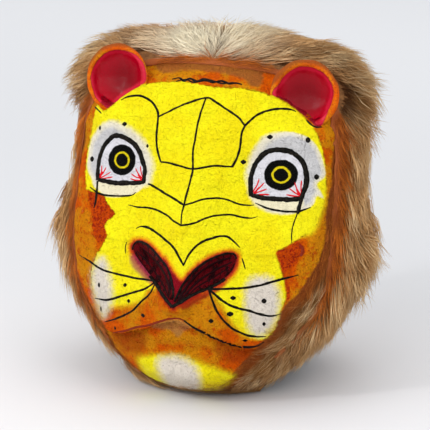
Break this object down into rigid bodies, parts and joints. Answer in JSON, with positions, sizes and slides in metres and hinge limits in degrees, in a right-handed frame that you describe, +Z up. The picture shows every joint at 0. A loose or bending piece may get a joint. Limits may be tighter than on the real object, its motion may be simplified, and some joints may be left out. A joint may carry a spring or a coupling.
{
  "type": "tiger mask",
  "caption": "Hollow papier-mache animal head mask with dished ears, painted face and a fur mane, open at the neck, worn over the head.",
  "frame": {"origin": "middle of the footprint, at the level on which the neck rim stands", "axes": "+Z up, the face looks along -Y, +X to the right as seen by someone who looks at the face"},
  "size_m": [0.3416, 0.2776, 0.35],
  "materials": {
    "face_paint": "rough painted papier-mache, satin",
    "ear_paint": "gloss painted papier-mache",
    "fur": "long pile"
  },
  "bodies": {
    "root": {"face_shell": "face_paint", "ear_cup_left": "ear_paint", "ear_cup_right": "ear_paint", "crown_fur": "fur", "mane_fur_left": "fur", "mane_fur_right": "fur"}
  },
  "joints": []
}
